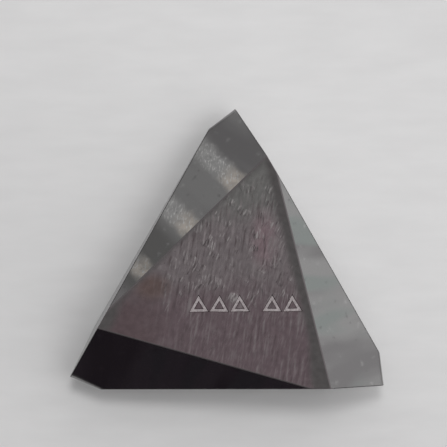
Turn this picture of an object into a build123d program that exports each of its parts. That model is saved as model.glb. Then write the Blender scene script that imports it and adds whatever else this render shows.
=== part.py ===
from build123d import *

# A triangular on-edge threading insert of cemented carbide, with a 60-degree nose at each of
# its three corners.
#
# The insert is one solid. Each wall is the rake side of the nose at one of its ends. Seen
# square on to that wall, the nose is a V with a round tip, and its axis lies at half the
# thickness. Behind the cutting edge the two flanks and the tip all fall away at one clearance
# angle. So each flank runs as a long sloping facet across the upper or lower face, wide at its
# own nose and narrowing to nothing near the next one, and the tip is part of a cone. A shallow
# rake land is ground into the wall from where the V has its full width.
#
# Millimetres. The origin is the centre of the lower face, on the three-fold axis, with +Z up
# through the thickness. One wall faces -Y, and its nose is at the +X end.

from math import cos, radians, sin, sqrt, tan
import os

# ---- driving dimensions ------------------------------------------------------------------
inscribed_circle = 12.70  # diameter of the circle that touches the three walls
thickness = 4.76

thread_angle = 60.0  # included angle of the V
nose_radius = 0.50
nose_setback = 1.02  # along the wall, from the untrimmed corner to the round tip
clearance_angle = 7.0  # of flanks and tip, square to the cutting edge
rake_angle = 2.0  # between the wall and the land, which leans in towards the tip

# ---- worked out from them ----------------------------------------------------------------
wall_offset = inscribed_circle / 2  # from the axis to each wall
wall_length = inscribed_circle * sqrt(3)
half_angle = radians(thread_angle / 2)
vee_depth = thickness / 2 / tan(half_angle)  # from the sharp point of the V to its full width
tip_loss = nose_radius / sin(half_angle) - nose_radius  # from the sharp point to the round tip
sharp_x = wall_length / 2 - nose_setback + tip_loss
land_start_x = sharp_x - vee_depth
beyond = 2 * wall_length  # spans the insert from any of its corners


def blank():
    """The triangle before grinding, with one wall facing -Y."""
    return extrude(RegularPolygon(wall_offset, 3, major_radius=False, rotation=90), thickness)


def nose():
    """What is left once one nose is ground, of anything that stands on the wall facing -Y.

    The V is drawn on the wall with its point towards +X, and is carried into the insert while
    its two sides and its round tip close in at the clearance angle. The land is cut last.
    """
    half_width = beyond * tan(half_angle)
    vee = make_face(Polyline((0, 0), (beyond, -half_width), (beyond, half_width), close=True))
    point = vee.vertices().sort_by(Axis.X)[0]
    ground = extrude(fillet(point, nose_radius), beyond, taper=clearance_angle)

    wall = Plane((sharp_x, -wall_offset, thickness / 2), x_dir=(-1, 0, 0), z_dir=(0, 1, 0))
    rake = radians(rake_angle)
    land = Plane((land_start_x, -wall_offset, 0), z_dir=(-sin(rake), cos(rake), 0))
    return split(wall * ground, bisect_by=land, keep=Keep.TOP)


def threading_insert():
    """The blank with the same nose ground at its three corners."""
    body = blank()
    for turn in (0, 120, 240):
        body &= nose().rotate(Axis.Z, turn)
    return body


os.makedirs("parts", exist_ok=True)
export_step(threading_insert(), "parts/threading_insert.step")
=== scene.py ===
from math import atan2, cos, pi, radians, sin, tan

import bmesh
import bpy
from mathutils import Matrix, Vector
from mathutils.geometry import delaunay_2d_cdt


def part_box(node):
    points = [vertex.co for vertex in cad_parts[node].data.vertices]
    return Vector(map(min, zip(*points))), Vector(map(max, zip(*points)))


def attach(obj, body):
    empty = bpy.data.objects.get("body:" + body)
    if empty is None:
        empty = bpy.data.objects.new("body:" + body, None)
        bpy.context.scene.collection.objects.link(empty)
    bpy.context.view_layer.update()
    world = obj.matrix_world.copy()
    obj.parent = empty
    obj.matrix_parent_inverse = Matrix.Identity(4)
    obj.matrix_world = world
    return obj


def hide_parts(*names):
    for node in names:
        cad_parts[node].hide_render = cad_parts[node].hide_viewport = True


# A ground carbide threading insert that lies on a pale bench and is seen from above.
#
# Everything is in metres, in the frame of the CAD model, apart from the insert's texture
# coordinates, which are in millimetres so that its finishes can be written in them.

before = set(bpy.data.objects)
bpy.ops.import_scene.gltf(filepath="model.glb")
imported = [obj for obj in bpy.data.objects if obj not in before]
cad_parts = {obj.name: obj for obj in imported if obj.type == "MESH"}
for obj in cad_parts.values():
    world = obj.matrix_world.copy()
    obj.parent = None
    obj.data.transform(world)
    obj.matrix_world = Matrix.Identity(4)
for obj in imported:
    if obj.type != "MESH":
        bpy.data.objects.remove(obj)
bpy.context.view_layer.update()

MM = 0.001
NODE = "threading_insert"
UV_NAME = "facet_mm"
BARS_NAME = "bars"

top_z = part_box(NODE)[1].z

# ---- camera ------------------------------------------------------------------------------
VIEW_DISTANCE = 400 * MM
VIEW_WIDTH = 29.09 * MM  # what the frame spans at the object
VIEW_AIM = (-0.24 * MM, 4.31 * MM, 0.0)
VIEW_LEAN = (radians(-3.4), radians(0.45))  # of the line of sight, towards +X and towards +Y
VIEW_ROLL = radians(-0.32)
VIEW_CLIP = (0.01, 10.0)
SENSOR_WIDTH = 36.0

# ---- light -------------------------------------------------------------------------------
DOME_LEVEL = 0.357  # radiance of the dome, averaged over all directions
DOME_SLOPE = (0.427, 0.382, 0.211)  # how the radiance grows with each part of a direction
DOME_LEAST = 0.13
SCREEN_SIDE = (-0.185, -0.859, 0.476)  # where a dark screen stands, which the near flank mirrors
SCREEN_REACH = (radians(9), radians(20))  # from its middle to where its edge starts and ends
SCREEN_LEVEL = 0.33  # of the light behind it
SCREEN_COLOUR = (1.0, 0.78, 0.98)
LAMPS = {  # azimuth anticlockwise from +X, elevation, apparent size, strength
    "overhead_lamp": (radians(92), radians(70), radians(15), 0.76),
    "side_lamp": (radians(-14), radians(68), radians(36), 0.46),
}

# ---- the bench ---------------------------------------------------------------------------
BENCH_SIZE = 3.0
BENCH_TOP = -0.002 * MM  # a hair below the insert, so that no two faces share a plane
BENCH_COLOUR = (0.720, 0.715, 0.717)
BENCH_MOTTLE = 0.06  # how far soft streaks stray from that colour
BENCH_STREAKS = (250, 900)  # scale of the streaks along X and along Y
BENCH_PAINTED_FALLOFF = 0.06  # painted light falloff: how much darker the bench is painted at the near left, and lighter at the far right
BENCH_PAINTED_FALLOFF_HEADING = (0.6, 0.8, 0.0)
BENCH_PAINTED_FALLOFF_ENDS = (-16 * MM, 20 * MM)
BENCH_ROUGHNESS = 0.7

# ---- the insert's shape beyond the CAD model ---------------------------------------------
HONE = 0.05 * MM  # how far the ground edges are rounded
HONE_STEPS = 4
MARK_DEPTH = 0.05 * MM
MARK_SLOPE = 0.04 * MM  # how far each side of a groove leans out over its depth
MARK_STROKE = 0.15 * MM  # width of a groove's floor
MARK_INRADIUS = 0.26 * MM  # from a mark's centre to the middle of its grooves
MARK_ROW_Y = -0.97 * MM
MARKS = (  # place along the row in millimetres, turn in degrees
    (-2.14, 1.2), (-0.82, -1.5), (0.50, 0.7), (2.58, -0.8), (3.90, 1.6),
)

# ---- how the CAD model's mesh is read ----------------------------------------------------
WELD = 0.0001 * MM  # corners this close are one
FLAT_ANGLE = radians(0.3)  # faces that meet at less than this are one
SHARP_ANGLE = radians(15)  # edges where the faces turn by more than this are honed
FACET_AREA = 2 * MM ** 2  # a main facet is larger than this, and a strip of a nose's cone smaller
SAME_HEADING = 0.9999  # cosine of the angle between two normals of one facet
FLAT_Z = 0.98  # a flat face's normal rises more steeply than this
LEVEL_Z = 0.02  # a wall's normal rises less than this

FLANK_TURN = radians(13.8)  # heading in which the right flank falls away from the top face
BARRED_TURN = FLANK_TURN + 2 * pi / 3  # the same of the left flank, which shows the bars of painted lamp reflection
BARRED_SPREAD = radians(30)  # a nose's cone turns less than this away from its flank
BARRED_Z = 0.5  # the flank's twin on the underside has a normal below this

LAPPED, FLANK, WALL, EDGE, GROOVE = range(5)  # material slots of the insert

# ---- the insert's finishes ---------------------------------------------------------------
# Places and lengths in them are in millimetres, in the coordinates that set_coordinates lays,
# and so are the scales of noise, in cells per millimetre along each axis. A layer of colour is
# written as the value at which it sets in, the one from which it is whole, and the colour.

# the flat faces
GRIND_TURN = radians(-9)  # how far the scratches lean from the Y axis
CROSS_TURN = radians(-27)
STAIN = (0.192, 0.145, 0.160)
STAIN_SCALE = 0.55
STAIN_WANDER = 1.5  # how far the borders of its zones stray
STAIN_ACROSS = (-3.0, -6.5, (0.164, 0.121, 0.130))  # over X
STAIN_ALONG = (  # over Y
    (-1.3, 1.6, (0.232, 0.202, 0.210)),
    (3.4, 6.2, (0.217, 0.213, 0.208)),
)
STAIN_SPOTS = (  # centre, half widths, colour
    ((2.1, 3.3), (0.75, 1.6), (0.290, 0.215, 0.235)),
    ((-5.1, 0.3), (1.0, 0.7), (0.180, 0.130, 0.124)),
)
SPOT_BLUR = 0.6  # share of a spot's half width over which its edge fades, each way
SWEPT_X = (-6.0, -2.5)  # strokes and scratches set in from the left between these
SWEPT_Y = (7.9, 6.7)  # and from the far corner between these
SWEPT_FAINT_Y = (-3.0, 1.0)  # and grow from faint on the near side to full between these
SWEPT_FAINT = 0.75
STROKE_SCALE = (4.5, 0.45)
STROKE_Y = (8.0, 4.4)  # the strokes alone set in more slowly from the far corner
STROKES = (
    (0.50, 0.74, (0.300, 0.262, 0.270)),
    (0.46, 0.26, (0.125, 0.097, 0.103)),
)
SCRATCH_SCALE = (8.0, 0.9)
SCRATCH_SETS = ((GRIND_TURN, 0.85), (CROSS_TURN, 1.1))  # lean, scale of the clumps
# the first, pale layer of the scratches is painted glint of light on them
SCRATCHES_AND_GLINTS = (
    (0.51, 0.68, (0.450, 0.420, 0.420)),
    (0.47, 0.34, (0.125, 0.107, 0.111)),
)
CLUMP_EDGE = (0.55, 0.62)
CLUMP_Y = (-2.5, 0.5)  # the clumps set in from the near side between these
CLUMP_GAP = 0.15  # strength of the scratches between clumps
CALM = (0.138, 0.129, 0.129)  # colour of the smooth strips beside two of the flanks
CALM_STRIPS = (  # the flank's heading, width, width in the near corner, and the Ys between them
    (FLANK_TURN, 0.60, 1.15, (-2.5, -6.3)),
    (BARRED_TURN, 0.10, 1.05, (0.2, -3.0)),
)
CALM_BLUR = 0.30  # how far a strip's inner side fades, each way
DIP_SCALE = 2.4  # of faint dark blotches all over
DIPS = (0.70, 0.30, (0.0, 0.0, 0.0))
DIP_STRENGTH = 0.16
SPECK_SCALE = 4.0
SPECKS = (0.68, 0.80, (0.120, 0.100, 0.105))
LAPPED_ROUGHNESS = (0.22, 0.34)
LAPPED_BUMP = (0.02 * MM, 0.6)  # height, strength

# the flanks
FLANK_BASE = (0.205, 0.198, 0.201)
FLANK_SHIFT = (3.5, 0.0, 0.0)  # lays the faint bands of painted sheen where they suit the right flank
# painted sheen: faint pale bands across the flanks that stand for reflected light
FLANK_SHEEN_SCALE = (0.42, 0.12)
FLANK_SHEEN = (0.38, 0.62, (0.290, 0.286, 0.285))
TINT_SCALE = (0.51, 0.17)
TINT = (0.52, 0.70, (0.250, 0.268, 0.261))
SCUFF_SCALE = 1.3
SCUFFS = (
    (0.60, 0.84, (0.380, 0.375, 0.375)),
    (0.38, 0.20, (0.120, 0.117, 0.118)),
)
FLANK_LINE_SCALE = (0.4, 14.0)  # of fine lines that show in the gloss alone
FLANK_ROUGHNESS = (0.12, 0.18)
FLANK_BUMP = (0.003 * MM, 0.2)

# the flank with the bars of painted lamp reflection
PAINTED_REFLECTION_TONES = (  # painted reflection along it: darker from its middle on, lighter again near its left end
    (-0.5, 1.0, (0.172, 0.168, 0.166)),
    (4.2, 5.4, (0.262, 0.250, 0.255)),
)
BAR_PITCH = 4.1
BAR_PLACE = -5.0  # the middle of one bar
BAR_SIDES = (0.1, 1.05)  # of a cosine that is 1 in the middle of a bar
BAR_BEND = 0.3  # how far a bar's sides stray
BAR_BEND_SCALE = 1.3
BAR_PATCH_SCALE = 1.6
BAR_PATCHES = (0.30, 0.66)
BAR_BETWEEN_PATCHES = 0.55  # strength of a bar between its patches
BAR_FADE = ((0.5, 3.0), 0.7)  # where along the flank the bars grow fainter, and how faint
# pale bars painted on the flank as reflections of lamps, paler towards one end up the slope and
# speckled
PAINTED_REFLECTION_COLOUR = (0.460, 0.455, 0.450)
PAINTED_REFLECTION_INNER = (-3.4, -1.9, (0.660, 0.600, 0.540))  # up the slope
BAR_GRAIN_SCALE = (9.0, 3.5)
BAR_GRAIN_TURN = radians(-50)
PAINTED_REFLECTION_SPECKLE = (0.52, 0.66, (0.740, 0.730, 0.720))

# the walls
WALL_BASE = (0.285, 0.280, 0.280)
WALL_LINE_SCALE = (0.3, 6.5)
WALL_LINES = (0.30, 0.70, (0.430, 0.425, 0.425))
WALL_HAZE_SCALE = (0.25, 0.7)
WALL_HAZE = (0.65, 0.35, (0.355, 0.350, 0.352))
WALL_ROUGHNESS = (0.15, 0.29)
WALL_BUMP = (0.004 * MM, 0.3)

# the honed edges and the marks
DULL = 0.35  # roughness
WEAR_SCALE = 2.0
# the honed edges below the top rim are painted dark as shade, for dark lines along the walls
PAINTED_SHADE_EDGE_TONES = ((0.055, 0.051, 0.053), (0.110, 0.104, 0.106))
RIM_TONES = ((0.150, 0.132, 0.137), (0.205, 0.188, 0.193))  # of the edges round the top
RIM_Z = (top_z - 3 * HONE, top_z - 1.5 * HONE)
GROOVE_FLOOR = (0.44, 0.39, 0.40)
GROOVE_GRAIN_SCALE = 6.0
GROOVE_GRAIN = (0.35, 0.65, (0.66, 0.60, 0.61))
# the upper part of a groove's sides is painted dark as shade
PAINTED_GROOVE_SHADE = (top_z - 0.8 * MARK_DEPTH, top_z - 0.5 * MARK_DEPTH, (0.075, 0.056, 0.060))


class Shading:
    """The nodes of a material or a world, and short ways to add to them."""

    def __init__(self, owner, shader):
        owner.use_nodes = True
        self.tree = owner.node_tree
        self.shader = self.tree.nodes[shader]

    def add(self, kind, inputs, **settings):
        """A new node. An input is linked if its value is a socket, and set otherwise."""
        made = self.tree.nodes.new("ShaderNode" + kind)
        for name, value in settings.items():
            setattr(made, name, value)
        for key, value in inputs.items():
            if isinstance(value, bpy.types.NodeSocket):
                self.tree.links.new(value, made.inputs[key])
            else:
                made.inputs[key].default_value = value
        return made

    def drive(self, socket, value):
        self.tree.links.new(value, self.shader.inputs[socket])

    def math(self, operation, *values):
        return self.add("Math", dict(enumerate(values)), operation=operation).outputs[0]

    def product(self, first, *others):
        for other in others:
            first = self.math("MULTIPLY", first, other)
        return first

    def between(self, value, low, high):
        """Goes from low to high while the value goes from 0 to 1."""
        return self.math("MULTIPLY_ADD", value, high - low, low)

    def step(self, value, low, high):
        """A smooth step from 0 at low to 1 at high, where low may be the larger."""
        inputs = {"Value": value, "From Min": low, "From Max": high}
        return self.add("MapRange", inputs, interpolation_type="SMOOTHSTEP").outputs["Result"]

    def vector(self, operation, first, second):
        return self.add("VectorMath", {0: first, 1: second}, operation=operation).outputs[0]

    def dot(self, place, heading):
        inputs = {0: place, 1: heading}
        return self.add("VectorMath", inputs, operation="DOT_PRODUCT").outputs["Value"]

    def split(self, place):
        return self.add("SeparateXYZ", {0: place}).outputs

    def noise(self, place, scale=1.0, detail=2.0, roughness=0.5):
        inputs = {"Vector": place, "Scale": scale, "Detail": detail, "Roughness": roughness}
        return self.add("TexNoise", inputs).outputs["Fac"]

    def streaks(self, place, scale, turn=0.0, **settings):
        """Noise with a scale along each axis, once the axes are turned anticlockwise."""
        inputs = {"Vector": place, "Angle": -turn}
        turned = self.add("VectorRotate", inputs, rotation_type="Z_AXIS").outputs[0]
        return self.noise(self.vector("MULTIPLY", turned, (*scale, 1.0)), **settings)

    def spot(self, place, centre, size):
        """1 inside an ellipse with the given half widths, and 0 well outside it."""
        offset = self.vector("SUBTRACT", place, (*centre, 0.0))
        scaled = self.vector("DIVIDE", offset, (*size, 1.0))
        reach = self.add("VectorMath", {0: scaled}, operation="LENGTH").outputs["Value"]
        return self.step(reach, 1.0 + SPOT_BLUR, 1.0 - SPOT_BLUR)

    def mix(self, amount, first, second):
        """The first colour where the amount is 0, and the second where it is 1."""
        first, second = (colour if isinstance(colour, bpy.types.NodeSocket) else (*colour, 1.0)
                         for colour in (first, second))
        inputs = {"Factor": amount, 6: first, 7: second}  # it has an A and a B for each data type
        return self.add("Mix", inputs, data_type="RGBA").outputs[2]

    def cover(self, base, value, layer, *strengths):
        """The base under a layer of colour, which sets in and grows whole with the value."""
        start, whole, colour = layer
        return self.mix(self.product(self.step(value, start, whole), *strengths), base, colour)


class Finish(Shading):
    """A material with a Principled shader."""

    def __init__(self, name, **constants):
        self.material = bpy.data.materials.new(name)
        super().__init__(self.material, "Principled BSDF")
        for socket, value in constants.items():
            self.shader.inputs[socket].default_value = value

    def object_place(self):
        return self.add("TexCoord", {}).outputs["Object"]

    def facet_place(self):
        return self.add("UVMap", {}, uv_map=UV_NAME).outputs["UV"]

    def bump(self, height, distance, strength):
        inputs = {"Height": height, "Distance": distance, "Strength": strength}
        self.drive("Normal", self.add("Bump", inputs).outputs["Normal"])


def linked(thing):
    bpy.context.scene.collection.objects.link(thing)
    return thing


def level_heading(azimuth):
    return Vector((cos(azimuth), sin(azimuth), 0.0))


def add_camera():
    data = bpy.data.cameras.new("camera")
    data.sensor_width = SENSOR_WIDTH
    data.lens = SENSOR_WIDTH * VIEW_DISTANCE / VIEW_WIDTH
    data.clip_start, data.clip_end = VIEW_CLIP
    camera = linked(bpy.data.objects.new("camera", data))
    back = Vector((tan(VIEW_LEAN[0]), tan(VIEW_LEAN[1]), 1.0)).normalized()
    upward = back.cross(level_heading(VIEW_ROLL)).normalized()
    across = upward.cross(back)
    camera.location = Vector(VIEW_AIM) + back * VIEW_DISTANCE
    camera.rotation_mode = "QUATERNION"
    camera.rotation_quaternion = Matrix((across, upward, back)).transposed().to_quaternion()
    bpy.context.scene.camera = camera


def add_dome():
    """Soft light from all round, which grows from the near left to the far right."""
    world = bpy.data.worlds.new("dome")
    bpy.context.scene.world = world
    sky = Shading(world, "Background")
    direction = sky.add("TexCoord", {}).outputs["Generated"]
    level = sky.math("ADD", sky.dot(direction, DOME_SLOPE), DOME_LEVEL)
    level = sky.math("MAXIMUM", level, DOME_LEAST)
    inner, outer = SCREEN_REACH
    screen = sky.step(sky.dot(direction, SCREEN_SIDE), cos(outer), cos(inner))
    sky.drive("Strength", sky.product(level, sky.between(screen, 1.0, SCREEN_LEVEL)))
    sky.drive("Color", sky.mix(screen, (1.0, 1.0, 1.0), SCREEN_COLOUR))


def add_lamps():
    """Two soft lamps for the shadows. The metal mirrors the dome alone, without their glare."""
    for name, (azimuth, elevation, size, strength) in LAMPS.items():
        data = bpy.data.lights.new(name, "SUN")
        data.energy = strength
        data.angle = size
        lamp = linked(bpy.data.objects.new(name, data))
        lamp.visible_glossy = False
        source = level_heading(azimuth) * cos(elevation) + Vector((0.0, 0.0, sin(elevation)))
        lamp.rotation_mode = "QUATERNION"
        lamp.rotation_quaternion = (-source).to_track_quat("-Z", "Y")


def shades(colour, spread):
    """The colour, darker and then lighter by the same share."""
    return [c * (1 - spread) for c in colour], [c * (1 + spread) for c in colour]


def bench_finish():
    finish = Finish("pale_bench", Roughness=BENCH_ROUGHNESS)
    place = finish.object_place()
    mottle = finish.streaks(place, BENCH_STREAKS, detail=4.0)
    base = finish.mix(mottle, *shades(BENCH_COLOUR, BENCH_MOTTLE))
    # painted light falloff across the bench: darker at the near left, lighter at the far right
    painted_light_share = finish.step(finish.dot(place, BENCH_PAINTED_FALLOFF_HEADING), *BENCH_PAINTED_FALLOFF_ENDS)
    fade = finish.mix(painted_light_share, *shades((1.0, 1.0, 1.0), BENCH_PAINTED_FALLOFF))
    finish.drive("Base Color", finish.vector("MULTIPLY", base, fade))
    return finish.material


def add_bench():
    mesh = bpy.data.meshes.new("bench")
    h = BENCH_SIZE / 2
    corners = [(x, y, BENCH_TOP) for x, y in ((-h, -h), (h, -h), (h, h), (-h, h))]
    mesh.from_pydata(corners, [], [(0, 1, 2, 3)])
    mesh.materials.append(bench_finish())
    linked(bpy.data.objects.new("bench", mesh))


def flat_reach():
    """How far the flat top goes from the axis towards a flank, in millimetres."""
    heading = level_heading(FLANK_TURN)
    points = (vert.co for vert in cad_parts[NODE].data.vertices)
    return max(p.dot(heading) for p in points if p.z > top_z - WELD) / MM


def calm_strips(finish, place, y):
    """1 on the smooth strips beside two of the flanks, which widen towards the near corners."""
    reach = flat_reach()
    beyond = []
    for azimuth, width, corner_width, ends in CALM_STRIPS:
        inset = finish.math("SUBTRACT", reach, finish.dot(place, level_heading(azimuth)))
        edge = finish.between(finish.step(y, *ends), width, corner_width)
        beyond.append(finish.math("SUBTRACT", inset, edge))
    return finish.step(finish.math("MINIMUM", *beyond), CALM_BLUR, -CALM_BLUR)


def lapped_finish():
    """The flat faces: grey carbide with a brown stain, and short scratches that lie in clumps,
    their pale layer a painted glint.
    """
    finish = Finish("lapped_face", Metallic=1.0)
    place = finish.facet_place()
    x, y, _ = finish.split(place)
    cloud = finish.noise(place, STAIN_SCALE, detail=3.0)
    wander = finish.between(cloud, -STAIN_WANDER, STAIN_WANDER)
    across = finish.math("ADD", x, wander)
    along = finish.math("ADD", y, wander)

    base = finish.cover(STAIN, across, STAIN_ACROSS)
    for zone in STAIN_ALONG:
        base = finish.cover(base, along, zone)
    for centre, size, colour in STAIN_SPOTS:
        base = finish.mix(finish.spot(place, centre, size), base, colour)

    # long soft strokes
    swept = finish.product(finish.step(across, *SWEPT_X), finish.step(y, *SWEPT_Y),
                           finish.between(finish.step(along, *SWEPT_FAINT_Y), SWEPT_FAINT, 1.0))
    strokes = finish.streaks(place, STROKE_SCALE, GRIND_TURN)
    for stroke in STROKES:
        base = finish.cover(base, strokes, stroke, swept, finish.step(y, *STROKE_Y))

    calm = calm_strips(finish, place, y)
    base = finish.mix(calm, base, CALM)

    # fine scratches at two angles, each faint everywhere and plain in clumps; their pale colour is
    # painted glint
    rubbed = finish.product(swept, finish.math("SUBTRACT", 1.0, calm))
    relief = 0.0
    for turn, clump_scale in SCRATCH_SETS:
        fine = finish.streaks(place, SCRATCH_SCALE, turn, detail=3.0, roughness=0.6)
        clumps = finish.step(finish.noise(place, clump_scale, detail=1.0), *CLUMP_EDGE)
        clumps = finish.product(clumps, finish.step(along, *CLUMP_Y))
        strength = finish.product(finish.between(clumps, CLUMP_GAP, 1.0), rubbed)
        for scratch in SCRATCHES_AND_GLINTS:
            base = finish.cover(base, fine, scratch, strength)
        relief = finish.math("MULTIPLY_ADD", fine, strength, relief)
    base = finish.cover(base, finish.noise(place, DIP_SCALE, detail=3.0), DIPS, DIP_STRENGTH)
    base = finish.cover(base, finish.noise(place, SPECK_SCALE), SPECKS)

    finish.drive("Base Color", base)
    finish.drive("Roughness", finish.between(cloud, *LAPPED_ROUGHNESS))
    finish.bump(relief, *LAPPED_BUMP)
    return finish.material


def painted_reflection_strength(finish, place, u):
    """1 in the middle of each bar of painted lamp reflection and 0 between them, patchy and bent.
    """
    bend = finish.noise(place, BAR_BEND_SCALE, detail=3.0)
    bent = finish.math("ADD", u, finish.between(bend, -BAR_BEND, BAR_BEND))
    turns = finish.product(finish.math("SUBTRACT", bent, BAR_PLACE), 2 * pi / BAR_PITCH)
    bar = finish.step(finish.math("COSINE", turns), *BAR_SIDES)
    patches = finish.step(finish.noise(place, BAR_PATCH_SCALE, detail=3.0), *BAR_PATCHES)
    fade_ends, faded = BAR_FADE
    return finish.product(bar, finish.between(patches, BAR_BETWEEN_PATCHES, 1.0),
                          finish.between(finish.step(u, *fade_ends), 1.0, faded))


def flank_finish():
    """The ground flanks: smooth grey with faint bands of painted sheen across and, on one, three
    pale bars of painted lamp reflection.
    """
    finish = Finish("ground_flank", Metallic=1.0)
    place = finish.facet_place()
    u, v, _ = finish.split(place)
    barred = finish.add("Attribute", {}, attribute_name=BARS_NAME).outputs["Fac"]
    plain = finish.math("SUBTRACT", 1.0, barred)
    shifted = finish.vector("ADD", place, FLANK_SHIFT)
    # faint bands of painted sheen
    base = finish.cover(FLANK_BASE, finish.streaks(shifted, FLANK_SHEEN_SCALE, roughness=0.4), FLANK_SHEEN)
    base = finish.cover(base, finish.streaks(shifted, TINT_SCALE, detail=1.0), TINT, plain)
    # painted reflection tones along the barred flank
    for tone in PAINTED_REFLECTION_TONES:
        base = finish.cover(base, u, tone, barred)

    # the pale bars are painted lamp reflections, speckled
    grain = finish.streaks(place, BAR_GRAIN_SCALE, BAR_GRAIN_TURN, detail=3.0)
    pale = finish.cover(finish.cover(PAINTED_REFLECTION_COLOUR, v, PAINTED_REFLECTION_INNER), grain, PAINTED_REFLECTION_SPECKLE)
    base = finish.mix(finish.product(painted_reflection_strength(finish, place, u), barred), base, pale)
    scuffed = finish.noise(place, SCUFF_SCALE, detail=4.0)
    for scuff in SCUFFS:
        base = finish.cover(base, scuffed, scuff)

    finish.drive("Base Color", base)
    lines = finish.streaks(place, FLANK_LINE_SCALE)
    finish.drive("Roughness", finish.between(lines, *FLANK_ROUGHNESS))
    finish.bump(lines, *FLANK_BUMP)
    return finish.material


def wall_finish():
    """The walls and rake lands: ground along their length, in fine lines that come and go."""
    finish = Finish("ground_wall", Metallic=1.0)
    place = finish.facet_place()
    lines = finish.streaks(place, WALL_LINE_SCALE, detail=4.0, roughness=0.65)
    base = finish.cover(WALL_BASE, lines, WALL_LINES)
    base = finish.cover(base, finish.streaks(place, WALL_HAZE_SCALE), WALL_HAZE)
    finish.drive("Base Color", base)
    finish.drive("Roughness", finish.between(lines, *WALL_ROUGHNESS))
    finish.bump(lines, *WALL_BUMP)
    return finish.material


def edge_finish():
    """The honed edges: dull and painted dark as shade, but near the faces' own tone round the top.
    """
    finish = Finish("honed_edge", Metallic=1.0, Roughness=DULL)
    wear = finish.noise(finish.facet_place(), WEAR_SCALE, detail=3.0)
    rim = finish.step(finish.split(finish.object_place())["Z"], *RIM_Z)
    tones = (finish.mix(wear, *pair) for pair in (PAINTED_SHADE_EDGE_TONES, RIM_TONES))
    finish.drive("Base Color", finish.mix(rim, *tones))
    return finish.material


def groove_finish():
    """The sunk marks: a pale etched floor between sides painted dark as shade."""
    finish = Finish("etched_mark", Metallic=1.0, Roughness=DULL)
    grain = finish.noise(finish.facet_place(), GROOVE_GRAIN_SCALE, detail=3.0, roughness=0.7)
    floor = finish.cover(GROOVE_FLOOR, grain, GROOVE_GRAIN)
    height = finish.split(finish.object_place())["Z"]
    finish.drive("Base Color", finish.cover(floor, height, PAINTED_GROOVE_SHADE))
    return finish.material


def on_facet(normal, facets):
    """Whether a face is part of a main facet, rather than of a nose's cone."""
    return any(normal.dot(facet) > SAME_HEADING for facet in facets)


def slot_of(normal, facets):
    """Which finish a face of the bare solid takes. A nose's cone counts as flank."""
    if abs(normal.z) > FLAT_Z:
        return LAPPED
    return WALL if abs(normal.z) < LEVEL_Z and on_facet(normal, facets) else FLANK


def honed_solid():
    """The CAD solid with whole facets, honed edges and a slot for each face.

    Also gives the normals of its main facets.
    """
    bm = bmesh.new()
    bm.from_mesh(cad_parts[NODE].data)
    bmesh.ops.remove_doubles(bm, verts=bm.verts, dist=WELD)
    bmesh.ops.dissolve_limit(bm, angle_limit=FLAT_ANGLE, verts=bm.verts, edges=bm.edges)
    bm.normal_update()
    facets = [face.normal.copy() for face in bm.faces if face.calc_area() > FACET_AREA]
    for face in bm.faces:
        face.material_index = slot_of(face.normal, facets)
        face.smooth = not on_facet(face.normal, facets)
    sharp = [edge for edge in bm.edges if edge.calc_face_angle() > SHARP_ANGLE
             and not all(face.smooth for face in edge.link_faces)]
    bmesh.ops.bevel(bm, geom=sharp, offset=HONE, segments=HONE_STEPS, profile=0.5,
                    affect="EDGES", clamp_overlap=True, material=EDGE)
    return bm, facets


def sink_mark(bm, x, turn):
    """One hollow triangle as a groove with sloping sides. Returns the corners of its rim."""
    foot = MARK_STROKE / 2
    rim = foot + MARK_SLOPE
    profile = ((rim, 0.0), (foot, MARK_DEPTH), (-foot, MARK_DEPTH), (-rim, 0.0))
    azimuths = [radians(90 + turn + 120 * k) for k in range(3)]
    loops = []
    for offset, depth in profile:
        reach = 2 * (MARK_INRADIUS + offset)  # from a triangle's centre to its corners
        centre = Vector((x, MARK_ROW_Y, top_z - depth))
        loops.append([bm.verts.new(centre + reach * level_heading(a)) for a in azimuths])
    for outer, inner in zip(loops, loops[1:]):
        for k in range(3):
            wall = bm.faces.new((outer[k - 1], outer[k], inner[k], inner[k - 1]))
            wall.material_index = GROOVE
    bm.faces.new(loops[-1]).material_index = LAPPED
    return loops[0]


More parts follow.
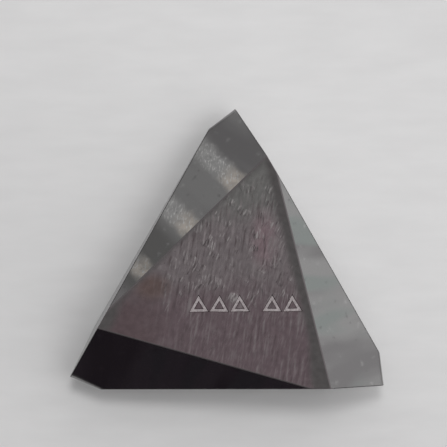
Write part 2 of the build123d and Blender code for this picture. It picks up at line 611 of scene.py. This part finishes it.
def sink_marks(bm):
    """Opens the top face, puts in the marks and fills the face again round them."""
    top = max(bm.faces, key=lambda face: face.normal.z * face.calc_area())
    loops = [list(top.verts)]
    bmesh.ops.delete(bm, geom=[top], context="FACES_ONLY")
    loops += [sink_mark(bm, x * MM, turn) for x, turn in MARKS]
    corners = [vert for loop in loops for vert in loop]
    edges = [(corners.index(loop[k - 1]), corners.index(loop[k]))
             for loop in loops for k in range(len(loop))]
    points = [vert.co.xy / MM for vert in corners]
    inside_only, tolerance = 1, 1e-6
    for triangle in delaunay_2d_cdt(points, edges, [], inside_only, tolerance)[2]:
        verts = [corners[k] for k in triangle]
        if not any(set(verts) == set(loop) for loop in loops):
            bm.faces.new(verts).material_index = LAPPED


def set_coordinates(mesh, facets):
    """Texture coordinates in millimetres: along the nearest facet's level, and up its slope."""
    layer = mesh.uv_layers.new(name=UV_NAME)
    up = Vector((0, 0, 1))
    for face in mesh.polygons:
        facet = max(facets, key=face.normal.dot)
        flat = abs(facet.z) > FLAT_Z
        along = Vector((1, 0, 0)) if flat else up.cross(facet).normalized()
        uphill = Vector((0, 1, 0)) if flat else facet.cross(along)
        for loop in face.loop_indices:
            place = mesh.vertices[mesh.loops[loop].vertex_index].co / MM
            layer.data[loop].uv = (place.dot(along), place.dot(uphill))


def set_bars(mesh):
    """Marks the faces of the one flank that shows the bars of painted lamp reflection."""
    layer = mesh.attributes.new(BARS_NAME, "FLOAT", "FACE")
    for face in mesh.polygons:
        turned = abs(atan2(face.normal.y, face.normal.x) - BARRED_TURN)
        layer.data[face.index].value = float(face.normal.z > BARRED_Z and turned < BARRED_SPREAD)


def add_insert():
    bm, facets = honed_solid()
    sink_marks(bm)
    bm.normal_update()
    mesh = bpy.data.meshes.new("insert")
    bm.to_mesh(mesh)
    bm.free()
    set_coordinates(mesh, facets)
    set_bars(mesh)
    for finish in (lapped_finish, flank_finish, wall_finish, edge_finish, groove_finish):
        mesh.materials.append(finish())
    piece = linked(bpy.data.objects.new("insert", mesh))
    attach(piece, "root")
    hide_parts(NODE)


add_camera()
add_dome()
add_lamps()
add_bench()
add_insert()

bpy.context.scene.view_settings.view_transform = "Standard"
